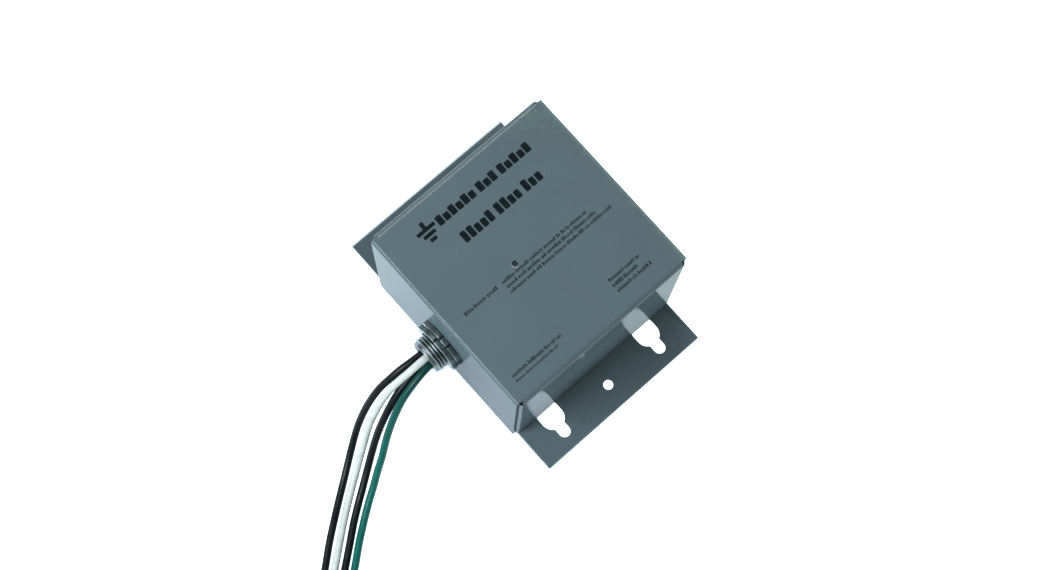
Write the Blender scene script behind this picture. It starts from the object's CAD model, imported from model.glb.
"""Looks for a whole-house surge protector: an enamelled box with a threaded nipple and four leads."""
import math
import random

import bmesh
import bpy
from mathutils import Euler, Matrix, Vector


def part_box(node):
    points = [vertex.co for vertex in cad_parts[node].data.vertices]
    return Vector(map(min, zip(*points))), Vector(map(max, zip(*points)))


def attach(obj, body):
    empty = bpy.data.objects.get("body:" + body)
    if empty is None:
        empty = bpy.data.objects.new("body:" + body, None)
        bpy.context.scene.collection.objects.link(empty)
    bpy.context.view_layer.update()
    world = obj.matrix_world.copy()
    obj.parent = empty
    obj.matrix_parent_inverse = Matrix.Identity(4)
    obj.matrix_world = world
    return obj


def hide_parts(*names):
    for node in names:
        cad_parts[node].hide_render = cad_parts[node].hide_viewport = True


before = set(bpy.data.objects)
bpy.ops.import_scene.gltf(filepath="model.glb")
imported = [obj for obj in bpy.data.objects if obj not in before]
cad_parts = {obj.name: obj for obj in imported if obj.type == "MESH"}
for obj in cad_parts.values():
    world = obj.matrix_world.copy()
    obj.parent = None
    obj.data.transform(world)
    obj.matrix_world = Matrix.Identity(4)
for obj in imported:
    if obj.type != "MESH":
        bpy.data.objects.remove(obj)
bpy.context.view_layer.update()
scene = bpy.context.scene
MM = 0.001


# ---- Camera ----

camera_data = bpy.data.cameras.new("camera")
camera_data.sensor_width = 36
camera_data.lens = 67.17
camera_data.clip_end = 50
camera = bpy.data.objects.new("camera", camera_data)
scene.collection.objects.link(camera)
# It looks down the front from the lower left, and is turned in degrees about X, then Y, then Z
camera_place = Matrix.Translation((-0.16852, -0.15304, 1.05462))
camera_turn = Euler([math.radians(a) for a in (12.3162, -1.3196, -41.5172)])
camera.matrix_world = camera_place @ camera_turn.to_matrix().to_4x4()
scene.camera = camera


# The nipple: its axis, lip and wall in metres, and its thread's radii and pitch in mm
NIPPLE_Z = 0.053
PITCH = 1.814
CREST_R = 10.65
ROOT_R = 9.68
LIP_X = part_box("conduit_nipple")[0].x
WALL_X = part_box("front_cover")[0].x
FRONT_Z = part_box("front_cover")[1].z


# ---- Material tools ----

class Finish:
    """A Principled material and short ways to add its procedural detail."""

    def __init__(self, name, colour, roughness, metallic=0.0, coat=0.0, coat_roughness=0.1):
        self.material = bpy.data.materials.new(name)
        self.material.use_nodes = True
        self.material.diffuse_color = (*colour, 1)
        self.nodes = self.material.node_tree.nodes
        self.links = self.material.node_tree.links
        self.shader = self.nodes["Principled BSDF"]
        coordinates = self.nodes.new("ShaderNodeTexCoord")
        self.place = coordinates.outputs["Object"]
        self.normal = coordinates.outputs["Normal"]
        self.height = None
        self.set("Base Color", (*colour, 1))
        self.set("Roughness", roughness)
        self.set("Metallic", metallic)
        self.set("IOR", 1.5)
        self.set("Coat Weight", coat)
        self.set("Coat Roughness", coat_roughness)

    def set(self, socket, value):
        self.shader.inputs[socket].default_value = value

    def join(self, source, target):
        self.links.new(source, target)

    def distance(self, point, scale=(1, 1, 1)):
        """Distance from a point, or from a line through it where one scale is 0."""
        mapping = self.nodes.new("ShaderNodeMapping")
        mapping.inputs["Location"].default_value = [-c * s for c, s in zip(point, scale)]
        mapping.inputs["Scale"].default_value = scale
        length = self.nodes.new("ShaderNodeVectorMath")
        length.operation = "LENGTH"
        self.join(self.place, mapping.inputs["Vector"])
        self.join(mapping.outputs["Vector"], length.inputs[0])
        return length.outputs["Value"]

    def stretched(self, sx, sy, sz):
        mapping = self.nodes.new("ShaderNodeMapping")
        mapping.inputs["Scale"].default_value = (sx, sy, sz)
        self.join(self.place, mapping.inputs["Vector"])
        return mapping.outputs["Vector"]

    def noise(self, scale, detail=3.0, rough=0.5, vector=None):
        node = self.nodes.new("ShaderNodeTexNoise")
        node.inputs["Scale"].default_value = scale
        node.inputs["Detail"].default_value = detail
        node.inputs["Roughness"].default_value = rough
        self.join(vector or self.place, node.inputs["Vector"])
        return node.outputs["Fac"]

    def spots(self, scale):
        node = self.nodes.new("ShaderNodeTexVoronoi")
        node.inputs["Scale"].default_value = scale
        self.join(self.place, node.inputs["Vector"])
        return node.outputs["Distance"]

    def ramp(self, value, *stops):
        node = self.nodes.new("ShaderNodeValToRGB")
        ramp = node.color_ramp
        for i, (at, colour) in enumerate(stops):
            stop = ramp.elements[i] if i < 2 else ramp.elements.new(at)
            stop.position = at
            stop.color = (*colour, 1)
        self.join(value, node.inputs["Fac"])
        return node.outputs["Color"]

    def span(self, value, low, high, to_low=0.0, to_high=1.0):
        node = self.nodes.new("ShaderNodeMapRange")
        for socket, number in zip(("From Min", "From Max", "To Min", "To Max"), (low, high, to_low, to_high)):
            node.inputs[socket].default_value = number
        self.join(value, node.inputs["Value"])
        return node.outputs["Result"]

    def maths(self, operation, a, b):
        node = self.nodes.new("ShaderNodeMath")
        node.operation = operation
        for i, value in enumerate((a, b)):
            if isinstance(value, (int, float)):
                node.inputs[i].default_value = value
            else:
                self.join(value, node.inputs[i])
        return node.outputs["Value"]

    def axis(self, letter, vector=None):
        node = self.nodes.new("ShaderNodeSeparateXYZ")
        self.join(vector or self.place, node.inputs["Vector"])
        return node.outputs[letter]

    def mix(self, share, a, b):
        node = self.nodes.new("ShaderNodeMix")
        node.data_type = "RGBA"
        colours = [s for s in node.inputs if s.type == "RGBA"]
        self.join(share, node.inputs["Factor"])
        for socket, value in zip(colours, (a, b)):
            if isinstance(value, tuple):
                socket.default_value = (*value, 1)
            else:
                self.join(value, socket)
        return next(s for s in node.outputs if s.type == "RGBA")

    def colour(self, value):
        self.join(value, self.shader.inputs["Base Color"])
        return self

    def rough(self, value, low, high):
        self.join(self.span(value, 0.3, 0.7, low, high), self.shader.inputs["Roughness"])
        return self

    def bump(self, value, strength, distance, coat=False):
        node = self.nodes.new("ShaderNodeBump")
        node.inputs["Strength"].default_value = strength
        node.inputs["Distance"].default_value = distance
        self.join(value, node.inputs["Height"])
        if self.height is not None:
            self.join(self.height, node.inputs["Normal"])
        self.height = node.outputs["Normal"]
        self.join(self.height, self.shader.inputs["Normal"])
        if coat:
            self.join(self.height, self.shader.inputs["Coat Normal"])
        return self


def shade(colour, factor):
    return tuple(c * factor for c in colour)


PAINT = (0.0590, 0.0840, 0.0930)
MOTTLE = (0.0695, 0.1040, 0.0990)
RIGHT_BEND = (0.115, 0.170, 0.168)
RUBBED = (0.17, 0.21, 0.20)
WINDOW_RING = (0.20, 0.25, 0.26)
WORN_RIM = (0.20, 0.26, 0.27)
TOP_RIM = (0.36, 0.43, 0.45)
CUT_EDGE = (0.012, 0.016, 0.018)
DUST = (0.30, 0.35, 0.34)
PAINT_COAT = 0.26


def enamel(name, colour, worn_edges=False):
    """Baked enamel with mottling and dust specks: the back plate's with worn_edges, or else the cover's.

    The plate's outer edges are worn bright and the insides of its holes are dark. The cover has a mottled
    corner, a paler bend on the right, a lower wall rubbed in lines and a ring round the window.
    """
    f = Finish(name, colour, 0.5, coat=PAINT_COAT, coat_roughness=0.07)
    f.set("Specular IOR Level", 0.0)
    toned = f.ramp(f.noise(28, 5, 0.65), (0.3, shade(colour, 0.96)), (0.7, shade(colour, 1.05)))
    across, up, out = (f.axis(letter) for letter in "XYZ")
    if worn_edges:
        low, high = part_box("back_plate")
        past_side = f.maths("SUBTRACT", f.maths("ABSOLUTE", across, 0), high.x - 0.0006)
        either_end = f.maths("MAXIMUM", up, f.maths("MULTIPLY", up, -0.9965))
        past_end = f.maths("SUBTRACT", either_end, high.y - 0.0010)
        rim = f.maths("MAXIMUM", past_side, past_end)
        patchy = f.span(f.noise(140, 4), 0.3, 0.6, 0.25, 0.8)
        toned = f.mix(f.maths("MULTIPLY", f.span(rim, 0, 0.0004), patchy), toned, WORN_RIM)
        shaded = f.span(up, 0.0565, 0.0575, 0.0, 0.36)
        toned = f.mix(shaded, toned, (0, 0, 0))
        top_rim = f.span(up, high.y - 0.0013, high.y - 0.0006, 0.0, 0.95)
        toned = f.mix(top_rim, toned, TOP_RIM)
        steep = f.span(f.axis("Z", f.normal), 0.6, 0.97, 1.0, 0.0)
        inside = f.span(rim, -0.0009, -0.0006, 1.0, 0.0)
        cut = f.maths("MULTIPLY", steep, inside)
        toned = f.mix(cut, toned, CUT_EDGE)
        f.join(f.span(cut, 0, 1, PAINT_COAT, 0.02), f.shader.inputs["Coat Weight"])
    else:
        mottled = f.ramp(f.noise(380, 6, 0.75), (0.47, shade(colour, 0.99)), (0.53, MOTTLE))
        corner = f.span(f.maths("ADD", across, up), 0.078, 0.105, 0.0, 1.0)
        right_side = f.span(across, 0.051, 0.0565, 0.0, 0.9)
        edge = f.maths("MULTIPLY", right_side, f.span(f.noise(90, 3), 0.4, 0.6))
        near_front = f.span(out, FRONT_Z - 0.0022, FRONT_Z - 0.0008)
        toned = f.mix(f.maths("MULTIPLY", f.maths("MAXIMUM", corner, edge), near_front), toned, mottled)
        right_bend = f.maths("MULTIPLY", f.span(across, 0.0550, 0.0562, 0.0, 0.9), near_front)
        toned = f.mix(right_bend, toned, RIGHT_BEND)
        lines = f.noise(1.0, 2, 0.5, f.stretched(5, 80, 200))
        lower_wall = f.span(up, -0.0569, -0.0566, 1.0, 0.0)
        rubbed = f.maths("MULTIPLY", f.span(lines, 0.53, 0.7, 0.0, 0.25), lower_wall)
        toned = f.mix(rubbed, toned, RUBBED)
        low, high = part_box("indicator_led")
        window = (low + high) / 2
        ring = f.distance((window.x - 0.00032, window.y - 0.00016, 0), (1, 1, 0))
        toned = f.mix(f.span(ring, 0.00176, 0.00164, 0.0, 0.8), toned, WINDOW_RING)
    dust = f.span(f.spots(260), 0.05, 0.08, 1.0, 0.0)
    rare = f.span(f.noise(60, 1), 0.55, 0.62)
    specks = f.maths("MULTIPLY", f.maths("MULTIPLY", dust, rare), 0.5 if worn_edges else 0.3)
    f.colour(f.mix(specks, toned, DUST))
    f.rough(f.noise(120, 4), 0.40, 0.48)
    f.bump(f.noise(300, 1), 0.006, 0.00005, coat=True)
    return f.material


def steel(name, colour, roughness, threaded=False, rims=()):
    """Plated metal with blotches and fine drawing marks.

    A thread is worn bright on its crests and dark at its roots. rims are the depths in mm of worn corners.
    """
    f = Finish(name, colour, roughness, metallic=1.0)
    blotch = f.noise(260, 4, 0.6)
    toned = f.ramp(blotch, (0.3, shade(colour, 0.72)), (0.55, colour), (0.75, shade(colour, 1.3)))
    if threaded:
        from_axis = f.distance((0, 0, NIPPLE_Z), (0, 1, 1))
        root = f.span(from_axis, (ROOT_R + 0.05) * MM, (ROOT_R + 0.5) * MM, 1.0, 0.0)
        outside = f.span(from_axis, (ROOT_R - 0.25) * MM, (ROOT_R - 0.1) * MM)
        lip = f.span(f.axis("X"), LIP_X + 0.0017, LIP_X + 0.0024)
        valley = f.maths("MULTIPLY", f.maths("MULTIPLY", root, outside), lip)
        toned = f.mix(valley, toned, shade(colour, 0.30))
        crest = f.span(from_axis, (CREST_R - 0.3) * MM, (CREST_R - 0.08) * MM, 0.0, 0.7)
        toned = f.mix(crest, toned, shade(colour, 1.6))
        toned = f.mix(f.maths("MULTIPLY", f.maths("SUBTRACT", 1, lip), outside), toned, shade(colour, 0.8))
    for depth in rims:
        away = f.maths("ABSOLUTE", f.maths("ADD", f.axis("X"), depth * MM - WALL_X), 0)
        toned = f.mix(f.span(away, 0.00010, 0.00022, 0.8, 0.0), toned, shade(colour, 3.2))
    f.colour(toned)
    f.rough(f.noise(500, 3), roughness - 0.08, roughness + 0.14)
    f.bump(f.noise(1.0, 2, 0.6, f.stretched(3000, 500, 500)), 0.12, 0.00004)
    return f.material


def plastic(name, colour, roughness, grain=900, strength=0.08, coat=0.0):
    f = Finish(name, colour, roughness, coat=coat, coat_roughness=0.12)
    f.colour(f.ramp(f.noise(70, 4), (0.3, shade(colour, 0.88)), (0.7, shade(colour, 1.12))))
    f.rough(f.noise(300, 3), roughness - 0.05, roughness + 0.08)
    f.bump(f.noise(grain, 2), strength, 0.00004, coat=coat > 0)
    return f.material


def insulation(name, colour, dirt, shaded=1.0):
    """Extruded jacket with smudges and slow lumps. shaded darkens it near the nipple."""
    f = Finish(name, colour, 0.34)
    f.set("Specular IOR Level", 0.14)
    smudge = f.noise(240, 5, 0.65)
    toned = f.ramp(smudge, (0.28, shade(colour, 1 - dirt)), (0.5, colour), (0.8, shade(colour, 1 + dirt)))
    near = f.span(f.axis("X"), -0.125, -0.070)
    f.colour(f.mix(near, toned, shade(colour, shaded)) if shaded < 1 else toned)
    f.rough(f.noise(180, 3), 0.28, 0.42)
    f.bump(f.noise(330, 3), 0.22, 0.0002)
    return f.material


def laminate():
    green = (0.045, 0.17, 0.07)
    f = Finish("board_laminate", green, 0.35, coat=0.5, coat_roughness=0.15)
    weave = f.maths("MULTIPLY", f.noise(1.0, 1, 0.5, f.stretched(2400, 200, 200)),
                    f.noise(1.0, 1, 0.5, f.stretched(200, 2400, 200)))
    f.colour(f.ramp(weave, (0.15, shade(green, 0.85)), (0.4, shade(green, 1.15))))
    f.bump(weave, 0.15, 0.00005)
    return f.material


def lens():
    tint = (0.022, 0.034, 0.037)
    f = Finish("indicator_lens", tint, 0.7)
    f.colour(f.ramp(f.noise(900, 2), (0.3, shade(tint, 0.8)), (0.7, shade(tint, 1.3))))
    f.set("Specular IOR Level", 0.08)
    f.set("Transmission Weight", 0.1)
    f.bump(f.noise(1500, 1), 0.03, 0.00002)
    return f.material


def ink():
    f = Finish("ink", (0.006, 0.009, 0.0105), 0.85)
    f.set("Specular IOR Level", 0.0)
    f.colour(f.ramp(f.noise(500, 3), (0.3, (0.004, 0.0065, 0.0075)), (0.7, (0.007, 0.0105, 0.012))))
    f.rough(f.noise(900, 2), 0.75, 0.95)
    f.bump(f.noise(1800, 2), 0.05, 0.00001)
    return f.material


FINISHES = {
    "grey_paint": enamel("grey_paint", PAINT),
    "plate_paint": enamel("plate_paint", shade(PAINT, 1.12), worn_edges=True),
    "plated_steel": steel("plated_steel", (0.098, 0.125, 0.130), 0.40, rims=(2.95, 3.3, 6.15)),
    "thread_steel": steel("thread_steel", (0.165, 0.20, 0.205), 0.32, threaded=True),
    "screw_steel": steel("screw_steel", (0.50, 0.53, 0.54), 0.28),
    "green_screw": steel("green_screw", (0.06, 0.30, 0.12), 0.32),
    "brass": steel("brass", (0.62, 0.46, 0.20), 0.30),
    "copper": steel("copper", (0.78, 0.36, 0.20), 0.28),
    "varistor_coating": plastic("varistor_coating", (0.03, 0.13, 0.36), 0.30, 260, 0.25, coat=0.5),
    "capacitor_case": plastic("capacitor_case", (0.62, 0.42, 0.06), 0.38),
    "fuse_body": plastic("fuse_body", (0.50, 0.43, 0.30), 0.62, 1400, 0.2),
    "resistor_body": plastic("resistor_body", (0.36, 0.22, 0.11), 0.45, 500, 0.2),
    "black_plastic": plastic("black_plastic", (0.018, 0.019, 0.021), 0.42, 1300, 0.12),
    "indicator_lens": lens(),
    "red_insulation": insulation("red_insulation", (0.42, 0.02, 0.02), 0.12),
    "black_insulation": insulation("black_insulation", (0.0025, 0.004, 0.005), 0.25),
    "white_insulation": insulation("white_insulation", (0.37, 0.395, 0.38), 0.16),
    "green_insulation": insulation("green_insulation", (0.002, 0.070, 0.060), 0.2, 0.3),
    "board_laminate": laminate(),
    "insulating_paper": plastic("insulating_paper", (0.40, 0.41, 0.38), 0.8, 2200, 0.3),
    "blue_plastic": plastic("blue_plastic", (0.03, 0.10, 0.36), 0.36),
    "ink": ink(),
}


# ---- Mesh tools ----

def placed(name, data, slot, finish=None, replaces=(), body="housing"):
    """Adds a piece that rides on a body, stands for CAD nodes and takes a slot's finish."""
    piece = bpy.data.objects.new(name, data)
    scene.collection.objects.link(piece)
    data.materials.clear()
    data.materials.append(FINISHES[finish or slot])
    if replaces:
        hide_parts(*replaces)
    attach(piece, body)
    return piece


def mesh_of(name, bm, sharp=35):
    bmesh.ops.recalc_face_normals(bm, faces=bm.faces)
    mesh = bpy.data.meshes.new(name)
    bm.to_mesh(mesh)
    bm.free()
    mesh.shade_smooth()
    mesh.set_sharp_from_angle(angle=math.radians(sharp))
    return mesh


def round_edges(piece, width, segments, folded, under):
    """Rounds the edges for good. Flat faces keep one normal, and the strips between them shade smoothly.

    folded parts a sheet's long bends from the small strips at their ends, which would tilt their normals.
    Nothing leaves the piece's own box, and its top is then brought down by under.
    """
    low, high = ([edge(v.co[i] for v in piece.data.vertices) for i in range(3)] for edge in (min, max))
    bevel = piece.modifiers.new("edges", "BEVEL")
    bevel.width = width
    bevel.segments = segments
    bevel.limit_method = "ANGLE"
    bevel.angle_limit = math.radians(35)
    bevel.use_clamp_overlap = False
    bevel.miter_outer = "MITER_ARC"
    plain = piece.data
    evaluated = piece.evaluated_get(bpy.context.evaluated_depsgraph_get())
    rounded = bpy.data.meshes.new_from_object(evaluated)
    piece.modifiers.clear()
    piece.data = rounded
    rounded.name = plain.name
    bpy.data.meshes.remove(plain)
    for vertex in rounded.vertices:
        vertex.co = [min(max(c, a), b) for c, a, b in zip(vertex.co, low, high)]
        vertex.co.z *= 1 - under / high[2]
    rounded.shade_smooth()
    for face in rounded.polygons:
        if max(abs(c) for c in face.normal) > 0.99995:
            face.use_smooth = False
    if folded:
        bm = bmesh.new()
        bm.from_mesh(rounded)
        for edge in bm.edges:
            along_fold = [min(abs(c) for c in face.normal) < 0.001 for face in edge.link_faces]
            if len(set(along_fold)) == 2:
                edge.smooth = False
        bm.to_mesh(rounded)
        bm.free()


def finished(node, slot, width, segments=2, finish=None, folded=False, under=0.0):
    """A copy of a CAD node with its edges rounded."""
    bm = bmesh.new()
    bm.from_mesh(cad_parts[node].data)
    bmesh.ops.remove_doubles(bm, verts=bm.verts, dist=2e-6)
    piece = placed(node + "_finished", mesh_of(node + "_finished", bm, 180), slot, finish, [node])
    round_edges(piece, width, segments, folded, under)


def smooth_spline(name, points, radius):
    """A round tube along one smooth line through the points."""
    curve = bpy.data.curves.new(name, "CURVE")
    curve.dimensions = "3D"
    curve.bevel_depth = radius
    curve.bevel_resolution = 7
    curve.resolution_u = 6
    curve.use_fill_caps = True
    spline = curve.splines.new("BEZIER")
    spline.bezier_points.add(len(points) - 1)
    last = len(points) - 1
    for i, point in enumerate(points):
        back = (point - points[i - 1]) if i else (points[1] - point)
        ahead = (points[i + 1] - point) if i < last else back
        along = back.normalized() * ahead.length + ahead.normalized() * back.length
        along.normalize()
        knot = spline.bezier_points[i]
        knot.handle_left_type = knot.handle_right_type = "FREE"
        knot.co = point
        knot.handle_left = point - along * back.length / 3
        knot.handle_right = point + along * ahead.length / 3
    return curve


def add_tube(bm, points, radius, sides=8):
    """A closed tube through the points, with its rings turned evenly along the way."""
    rings = []
    side = None
    last = len(points) - 1
    for i, point in enumerate(points):
        along = (points[min(i + 1, last)] - points[max(i - 1, 0)]).normalized()
        if side is None:
            side = along.cross(Vector((0.3, 0.2, 1))).normalized()
        side = (side - along * side.dot(along)).normalized()
        up = along.cross(side)
        turns = [2 * math.pi * k / sides for k in range(sides)]
        rings.append([bm.verts.new(point + radius * (math.cos(a) * side + math.sin(a) * up))
                      for a in turns])
    for near, far in zip(rings, rings[1:]):
        for k in range(sides):
            bm.faces.new((near[k], near[(k + 1) % sides], far[(k + 1) % sides], far[k]))
    bm.faces.new(rings[0][::-1])
    bm.faces.new(rings[-1])


def add_lathe(bm, profile, steps, place):
    """Turns a closed profile about an axis. profile(turn) gives its (radius, along) pairs in mm."""
    rings = []
    for j in range(steps):
        turn = 2 * math.pi * j / steps
        rings.append([bm.verts.new(place(r, turn, z)) for r, z in profile(turn)])
    count = len(rings[0])
    for j in range(steps):
        near, far = rings[j], rings[(j + 1) % steps]
        for k in range(count):
            bm.faces.new((near[k], near[(k + 1) % count], far[(k + 1) % count], far[k]))


# ---- Leads, which come first because they settle the room that they take ----

def metres(*points):
    return [Vector(p) for p in points]


ROUTES = {
    "black_1": metres(
        (-0.057, 0.003, 0.0525), (-0.067, 0.003, 0.0525), (-0.076, 0.0034, 0.0522),
        (-0.084, 0.0044, 0.050), (-0.091, 0.005, 0.046), (-0.0975, 0.0055, 0.041),
        (-0.103, 0.0052, 0.0358), (-0.110, 0.004, 0.028), (-0.118, 0.0012, 0.0195),
        (-0.1265, -0.0035, 0.0115), (-0.135, -0.009, 0.006), (-0.143, -0.0145, 0.0032),
        (-0.1515, -0.0205, 0.0022), (-0.160, -0.0268, 0.0022), (-0.170, -0.0345, 0.00225),
        (-0.180, -0.043, 0.00245), (-0.1885, -0.0505, 0.0054), (-0.194, -0.0575, 0.009),
        (-0.199, -0.065, 0.0114), (-0.2045, -0.072, 0.0118), (-0.212, -0.079, 0.0118)),
    "white": metres(
        (-0.057, -0.0003, 0.0553), (-0.067, -0.0004, 0.0553), (-0.076, -0.0004, 0.0546),
        (-0.083, -0.0001, 0.0521), (-0.089, 0.0004, 0.0489), (-0.0945, 0.0007, 0.0446),
        (-0.0995, 0.0004, 0.0398), (-0.106, -0.0008, 0.0328), (-0.113, -0.003, 0.025),
        (-0.1215, -0.0075, 0.016), (-0.130, -0.0125, 0.009), (-0.139, -0.0182, 0.0045),
        (-0.1475, -0.024, 0.0026), (-0.156, -0.0302, 0.0022), (-0.166, -0.0382, 0.0022),
        (-0.176, -0.0463, 0.0022), (-0.1855, -0.054, 0.0022), (-0.1945, -0.063, 0.0028),
        (-0.203, -0.0715, 0.0032), (-0.212, -0.079, 0.0032)),
    "black_2": metres(
        (-0.057, -0.0004, 0.0495), (-0.067, -0.0006, 0.0495), (-0.074, -0.001, 0.0493),
        (-0.0805, -0.0016, 0.0483), (-0.0865, -0.0023, 0.0462), (-0.092, -0.0031, 0.0434),
        (-0.0975, -0.0044, 0.0395), (-0.103, -0.006, 0.035), (-0.112, -0.0092, 0.026),
        (-0.1205, -0.0135, 0.017), (-0.128, -0.018, 0.0105), (-0.135, -0.0225, 0.0063),
        (-0.1435, -0.028, 0.0032), (-0.152, -0.034, 0.0022), (-0.162, -0.042, 0.0022),
        (-0.172, -0.050, 0.0023), (-0.1795, -0.056, 0.0032), (-0.186, -0.061, 0.0052),
        (-0.193, -0.0655, 0.007), (-0.202, -0.071, 0.0075), (-0.212, -0.079, 0.0075)),
    "green": metres(
        (-0.057, -0.0047, 0.0525), (-0.065, -0.0045, 0.0525), (-0.072, -0.0044, 0.0524),
        (-0.077, -0.0048, 0.0518), (-0.082, -0.0055, 0.0504), (-0.087, -0.0063, 0.0482),
        (-0.092, -0.0073, 0.0452), (-0.101, -0.0102, 0.0375), (-0.111, -0.0148, 0.027),
        (-0.1195, -0.020, 0.018), (-0.126, -0.0235, 0.012), (-0.1325, -0.0275, 0.0074),
        (-0.140, -0.032, 0.004), (-0.148, -0.0375, 0.0024), (-0.158, -0.045, 0.0023),
        (-0.168, -0.0533, 0.0026), (-0.176, -0.0595, 0.0056), (-0.183, -0.0642, 0.0106),
        (-0.1905, -0.0678, 0.0149), (-0.201, -0.0715, 0.0162), (-0.212, -0.079, 0.0161)),
}
LEAD_D = 0.0042
COIL_AT = Vector((-0.195, -0.100, 0))
COIL_RADIUS = 0.027
COIL_PITCH = 0.0043
COIL_TURNS = 1.72
COIL_START = math.radians(129.4)
LAYERS = {"white": 0, "black_2": 1, "black_1": 2, "green": 3}
JACKETS = {"white": "white_insulation", "black_1": "black_insulation",
           "black_2": "black_insulation", "green": "green_insulation"}
TIP_LENGTH = 0.012


def on_coil(turns, z):
    angle = COIL_START + 2 * math.pi * turns
    radius = COIL_RADIUS - COIL_PITCH * turns
    return COIL_AT + Vector((radius * math.cos(angle), radius * math.sin(angle), z))


def copper_tip(name, z):
    """The bared end: eighteen strands in two twisted rings round one, along the coil's own curve.

    It starts a small part of a turn inside the jacket.
    """
    bm = bmesh.new()
    inside = 0.008
    start = COIL_TURNS - inside
    length = TIP_LENGTH / (2 * math.pi * (COIL_RADIUS - COIL_PITCH * COIL_TURNS))
    steps = 16
    for ring, (count, out) in enumerate(((1, 0), (6, 0.00058), (12, 0.00116))):
        for k in range(count):
            line = []
            for i in range(steps + 1):
                turns = start + (length + inside) * i / steps
                middle = on_coil(turns, z)
                outward = middle - COIL_AT
                outward.z = 0
                outward.normalize()
                a = 2 * math.pi * (k / count + 0.55 * i / steps) + ring
                line.append(middle + out * (math.cos(a) * outward + math.sin(a) * Vector((0, 0, 1))))
            add_tube(bm, line, 0.000285, 8)
    return placed(name, mesh_of(name, bm, 50), None, finish="copper")


for lead, route in ROUTES.items():
    height = route[-1].z
    coil_steps = round(COIL_TURNS * 24)
    coil = [on_coil(COIL_TURNS * i / coil_steps, height) for i in range(1, coil_steps + 1)]
    tube = smooth_spline("lead_" + lead + "_jacket", route + coil, LEAD_D / 2)
    jacket = placed("lead_" + lead + "_jacket", tube, JACKETS[lead],
                    replaces=["lead_" + lead, "coil_" + lead])
    tip = copper_tip("lead_" + lead + "_copper", height)


# ---- Enclosure ----

# The front lies this far under the print, whose own face is the outermost
INK_DEPTH = 0.00002

finished("front_cover", "grey_paint", 0.00022, 3, folded=True, under=INK_DEPTH)
finished("back_plate", "grey_paint", 0.0003, 3, finish="plate_paint")
finished("cover_rivets", "screw_steel", 0.00012)


# ---- Nipple and locknuts ----

def on_nipple(r, turn, z):
    """A point at radius r mm, turned from +Z towards +Y, z mm out from the left wall."""
    return Vector((WALL_X - z * MM, r * math.sin(turn) * MM, NIPPLE_Z + r * math.cos(turn) * MM))


def thread_radius(turn, z, start, stop):
    """Right-hand thread between start and stop, with flat crests and roots and a run-out at the free end."""
    phase = (z / PITCH + turn / (2 * math.pi)) % 1
    flank = min(1, max(0, (abs(phase - 0.5) - 0.08) / 0.34))
    radius = ROOT_R + (CREST_R - ROOT_R) * flank
    fade = min(1, max(0, (stop - z) / 0.7)) * min(1, max(0, (z - start) / 0.5))
    return ROOT_R + (radius - ROOT_R) * fade


def nipple_profile(turn):
    """The nipple's section, in mm, from its inner end round its lip and back through its bore."""
    inner_end = -11.0
    thread_end = 11.75
    lip = 13.5
    rows = []
    along = inner_end
    while along < lip - 1.85:
        rows.append((thread_radius(turn, along, inner_end, thread_end), along))
        along += PITCH / 11
    rows += [(ROOT_R, lip - 1.75), (ROOT_R, lip - 1.2), (ROOT_R - 0.02, lip - 0.6),
             (ROOT_R - 0.12, lip - 0.28), (ROOT_R - 0.3, lip - 0.08), (ROOT_R - 0.5, lip),
             (8.95, lip), (8.75, lip - 0.06),
             (8.4, lip - 0.35), (8.05, lip - 0.72), (7.92, lip - 1.0), (7.9, lip - 1.5),
             (7.9, 0), (7.9, inner_end + 0.3), (8.2, inner_end)]
    return rows


bm = bmesh.new()
add_lathe(bm, nipple_profile, 144, on_nipple)
placed("nipple_threaded", mesh_of("nipple_threaded", bm, 60), "plated_steel", "thread_steel",
       ["conduit_nipple"])


def locknut(name, node, foot, bore, phase, body):
    """A stamped locknut: six dished lugs with rolled rims, its first lug turned by phase degrees."""
    box_low, box_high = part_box(node)
    rim = (box_high.z - box_low.z) / 2 / MM if phase == 0 else 14.6
    root = rim - 1.3
    half_lug = math.degrees(math.asin(4.3 / rim))

    def edge(turn):
        away = abs((math.degrees(turn) - phase + 30) % 60 - 30)
        rise = min(1, max(0, (half_lug + 0.8 - away) / 2.2))
        nick = max(0, 1 - abs(away - half_lug - 1.9) / 1.5)
        return root + (rim - root) * rise - 0.45 * nick

    def profile(turn):
        out = edge(turn)
        dish = 0.25 * min(1, max(0, (out - root) / 1.3))
        top = foot + 3.0
        return [(bore, foot + 0.35), (bore + 0.3, foot + 0.02), (bore + 1.0, foot), (out - 1.2, foot),
                (out - 0.4, foot + 0.02), (out - 0.12, foot + 0.1), (out - 0.02, foot + 0.25),
                (out, foot + 0.5), (out, top - 0.5), (out - 0.02, top - 0.22), (out - 0.1, top - 0.08),
                (out - 0.26, top), (out - 0.7, top - 0.02), (out - 1.3, top - 0.1 - dish),
                (bore + 1.1, top - 0.12), (bore + 0.35, top - 0.16), (bore, top - 0.5)]

    nut = bmesh.new()
    add_lathe(nut, profile, 240, on_nipple)
    placed(name, mesh_of(name, nut, 38), "plated_steel", replaces=[node], body=body)


locknut("locknut_at_wall", "wall_locknut", 0.0, 10.45, 20, "housing")
locknut("locknut_outer", "outer_locknut", 3.2, 10.75, 24, "locknut")
locknut("locknut_inside", "inside_locknut", -4.5, 10.45, 0, "housing")
finished("nipple_bushing", "blue_plastic", 0.0003)


# ---- Indicator ----

finished("indicator_led", "indicator_lens", 0.0001)
finished("led_clip", "black_plastic", 0.00015)
finished("led_wire_plus", "red_insulation", 0.00008)
finished("led_wire_minus", "black_insulation", 0.00008)


# ---- Circuit ----

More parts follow.
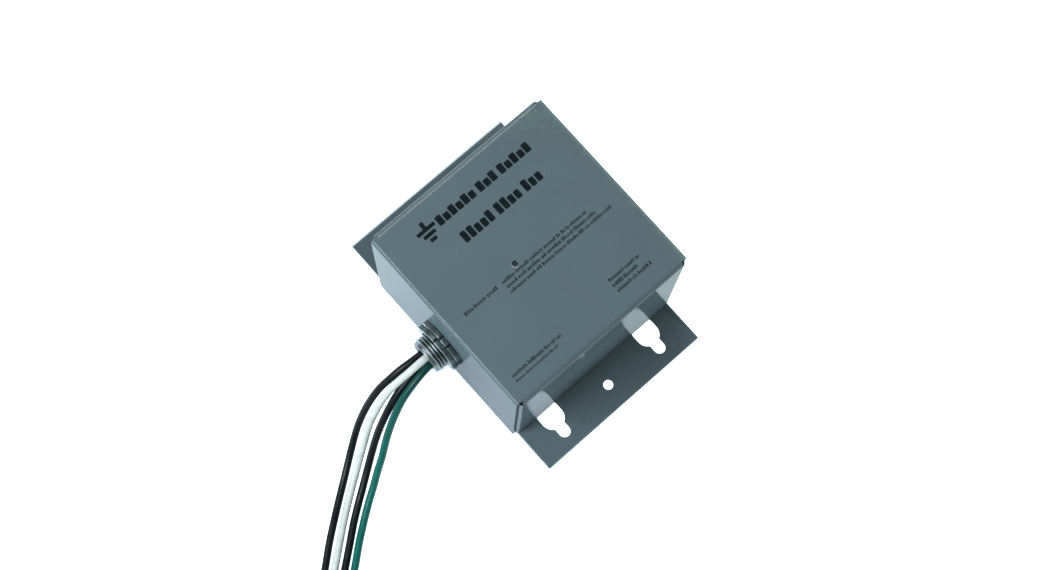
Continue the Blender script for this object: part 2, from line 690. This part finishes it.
for node, slot, width in (
        ("circuit_board", "board_laminate", 0.00015), ("insulating_sheet", "insulating_paper", 0.00005),
        ("standoffs", "brass", 0.0002), ("base_screws", "screw_steel", 0.00015),
        ("board_screws", "screw_steel", 0.0002), ("lead_terminals", "brass", 0.0003),
        ("terminal_screws", "screw_steel", 0.00015), ("ground_lug", "brass", 0.0004),
        ("ground_screw", "green_screw", 0.0002), ("blocking_diode", "black_plastic", 0.0002)):
    finished(node, slot, width)
for number in (1, 2, 3):
    finished(f"thermal_fuse_{number}", "fuse_body", 0.0003)
for number in (1, 2):
    finished(f"filter_capacitor_{number}", "capacitor_case", 0.0006, 3)
    finished(f"dropping_resistor_{number}", "resistor_body", 0.0006, 3)
for number in range(1, 7):
    finished(f"varistor_{number}", "varistor_coating", 0.0006, 3)
for lead, slot in JACKETS.items():
    finished("inner_lead_" + lead, slot, 0.0001)
finished("coil_tie", "black_plastic", 0.0003, 3)


# ---- Print on the front: plain blocks in place of all wording ----

def add_block(bm, x0, x1, y0, y1, corner):
    """A thin printed block with round corners, in mm on the front face."""
    corner = min(corner, (x1 - x0) / 2.01, (y1 - y0) / 2.01)
    outline = []
    for cx, cy, start in ((x1 - corner, y1 - corner, 0), (x0 + corner, y1 - corner, 90),
                          (x0 + corner, y0 + corner, 180), (x1 - corner, y0 + corner, 270)):
        for k in range(5):
            a = math.radians(start + 22.5 * k)
            outline.append((cx + corner * math.cos(a), cy + corner * math.sin(a)))
    low = [bm.verts.new((x * MM, y * MM, FRONT_Z - 2 * INK_DEPTH)) for x, y in outline]
    high = [bm.verts.new((x * MM, y * MM, FRONT_Z)) for x, y in outline]
    count = len(outline)
    bm.faces.new(high)
    bm.faces.new(low[::-1])
    for k in range(count):
        bm.faces.new((low[k], low[(k + 1) % count], high[(k + 1) % count], high[k]))


def add_text_row(bm, dice, x0, x1, y, cap):
    """A row of small blocks as wide apart as small type, grouped like words."""
    x = x0
    left = dice.randint(2, 9)
    while x < x1 - cap * 0.4:
        tall = cap if dice.random() < 0.3 else cap * 0.72
        wide = cap * dice.uniform(0.24, 0.42)
        add_block(bm, x, x + wide, y, y + tall, cap * 0.08)
        x += wide + cap * 0.24
        left -= 1
        if left == 0:
            x += cap * 0.32
            left = dice.randint(2, 10)


def add_earth_sign(bm, x, y):
    """The plain earth sign: a stem on three bars that get shorter."""
    for half, low, high in ((1.9, 0, 2.0), (3.7, 3.1, 5.1), (5.6, 6.2, 8.2), (1.1, 8.2, 11.8)):
        add_block(bm, x - half, x + half, y + low, y + high, 0.1)


def add_word_row(bm, dice, x0, x1, y, cap, words):
    """A bold row: letter-size blocks in groups, with the gaps of a heading."""
    count = sum(words)
    gap = cap * 0.13
    space = cap * 0.42
    wide = (x1 - x0 - gap * (count - len(words)) - space * (len(words) - 1)) / count
    x = x0
    for letters in words:
        for k in range(letters):
            tall = cap if k == 0 or dice.random() < 0.25 else cap * 0.76
            add_block(bm, x, x + wide, y, y + tall, cap * 0.12)
            x += wide + gap
        x += space - gap


dice = random.Random(7)
bm = bmesh.new()
add_earth_sign(bm, -32.2, 34.6)
add_word_row(bm, dice, -25.4, 35.9, 38.2, 5.5, (6, 3, 5))
add_word_row(bm, dice, -21.2, 30.6, 23.0, 6.4, (5, 4, 3))
for x0, x1, y, cap in ((-46.1, -23.6, -4.9, 2.0), (-21.2, 35.7, -4.9, 2.0), (-20.8, 38.8, -8.0, 2.0),
                       (-21.2, 46.4, -11.1, 2.0), (19.4, 40.4, -39.2, 2.0), (19.1, 35.9, -42.6, 2.0),
                       (19.4, 42.4, -46.0, 2.0), (-48.9, -16.1, -43.7, 2.0), (-48.9, -21.2, -46.6, 1.45)):
    add_text_row(bm, dice, x0, x1, y, cap)
placed("front_print", mesh_of("front_print", bm), None, finish="ink")


# ---- Floor and light ----

bm = bmesh.new()
bmesh.ops.create_circle(bm, cap_ends=True, radius=6, segments=96)
floor = bpy.data.objects.new("floor", mesh_of("floor", bm))
floor.location.z = -0.0003
scene.collection.objects.link(floor)
ground = Finish("floor", (0.54, 0.58, 0.60), 0.9)
ground.colour(ground.ramp(ground.noise(3, 2), (0.3, (0.53, 0.57, 0.59)), (0.7, (0.55, 0.59, 0.61))))
ground.set("Specular IOR Level", 0.0)
shaded_spot = ground.distance((-0.072, -0.055, 0), (1, 0.35, 0))
glow = ground.ramp(ground.span(shaded_spot, 0.02, 0.05), (0, (0.68, 0.765, 0.97)), (1, (0.72, 0.88, 0.90)))
ground.join(glow, ground.shader.inputs["Emission Color"])
ground.join(ground.span(shaded_spot, 0.0, 0.045, 0.60, 1.7), ground.shader.inputs["Emission Strength"])
floor.data.materials.append(ground.material)


def softbox(name, place, target, width, height, power, colour=(1, 1, 1)):
    data = bpy.data.lights.new(name, "AREA")
    data.shape = "RECTANGLE"
    data.size = width
    data.size_y = height
    data.energy = power
    data.color = colour
    light = bpy.data.objects.new(name, data)
    light.location = place
    light.rotation_euler = (Vector(target) - Vector(place)).to_track_quat("-Z", "Y").to_euler()
    scene.collection.objects.link(light)


softbox("left_light", (-1.05, 0.19, 1.25), (0, 0, 0.05), 0.85, 0.8, 45, (0.86, 0.95, 1.0))
softbox("top_light", (0.25, 0.82, 1.4), (0, 0, 0.05), 0.5, 0.75, 13, (0.96, 1.0, 0.99))

world = bpy.data.worlds.new("studio")
world.use_nodes = True
scene.world = world
sky = world.node_tree.nodes
sky_links = world.node_tree.links
direction = sky.new("ShaderNodeTexCoord").outputs["Generated"]
split = sky.new("ShaderNodeSeparateXYZ")
sky_links.new(direction, split.inputs["Vector"])
tone = sky.new("ShaderNodeValToRGB")
for i, (at, level) in enumerate(((0.0, 1.0), (0.3, 1.0), (1.0, 0.8))):
    stop = tone.color_ramp.elements[i] if i < 2 else tone.color_ramp.elements.new(at)
    stop.position = at
    stop.color = (level, level, level, 1)
sky_links.new(split.outputs["Z"], tone.inputs["Fac"])
sky_links.new(tone.outputs["Color"], sky["Background"].inputs["Color"])
sky["Background"].inputs["Strength"].default_value = 0.38
scene.view_settings.view_transform = "Standard"
